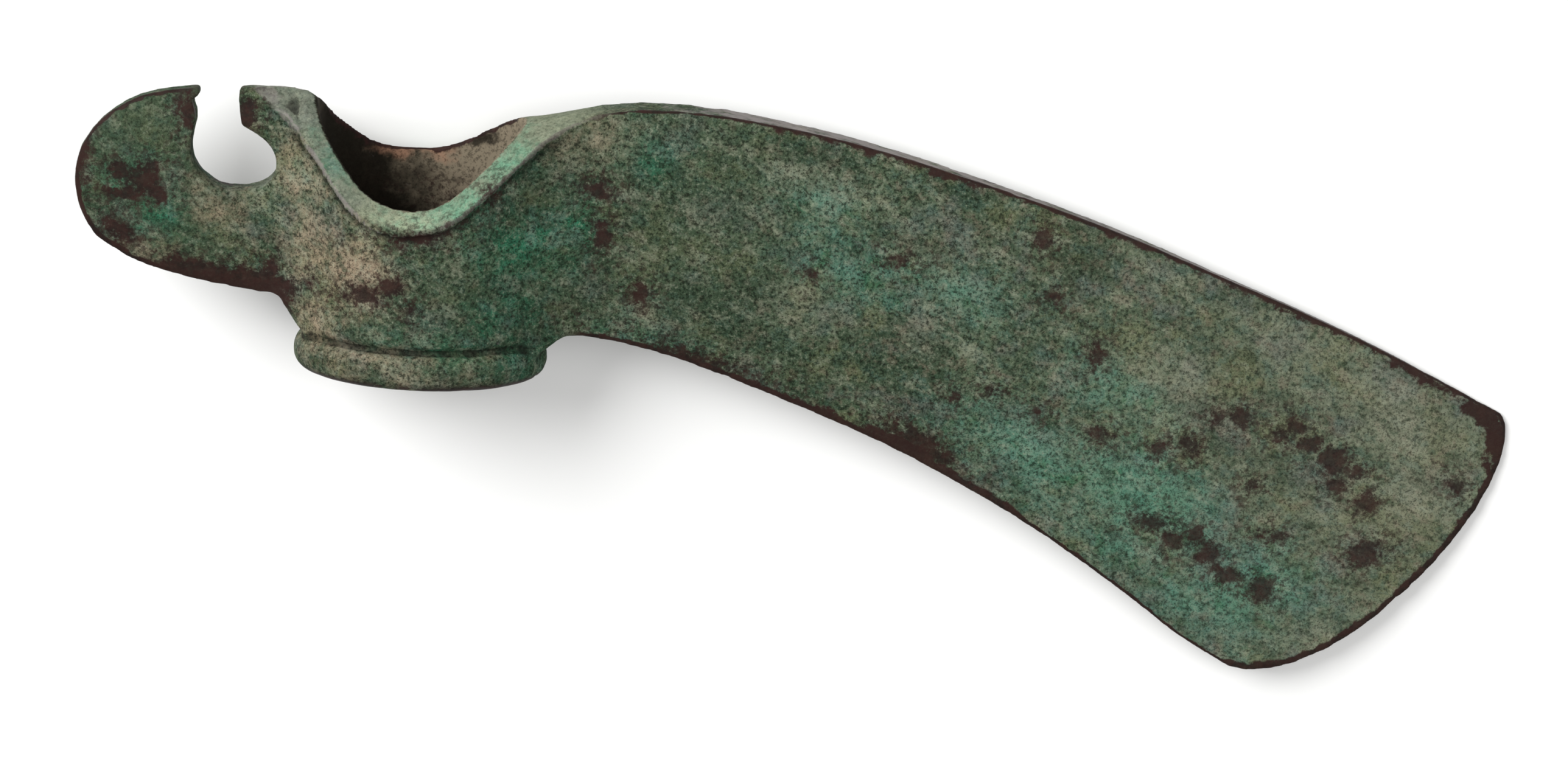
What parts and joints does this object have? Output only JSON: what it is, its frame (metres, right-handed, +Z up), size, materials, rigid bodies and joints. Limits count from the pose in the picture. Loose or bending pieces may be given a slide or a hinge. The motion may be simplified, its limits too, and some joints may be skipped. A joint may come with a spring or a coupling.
{
  "type": "axe head",
  "caption": "Cast bronze shaft-hole axe head with a hooked butt plate, an oval collared socket with a saddle-cut mouth and a long drooping blade, worn and green with patina.",
  "frame": {"origin": "on the floor, under the middle of the head's bounding box", "axes": "+X along the blade, from the butt to the cutting edge; +Y along the socket, from its collar to its mouth; +Z up, through the thickness of the head as it lies on its flank"},
  "size_m": [0.2118, 0.082, 0.0303],
  "materials": {
    "bronze": "old bronze under a dull green patina with dark brown wear"
  },
  "bodies": {
    "root": {"axe_head": "bronze"}
  },
  "joints": []
}
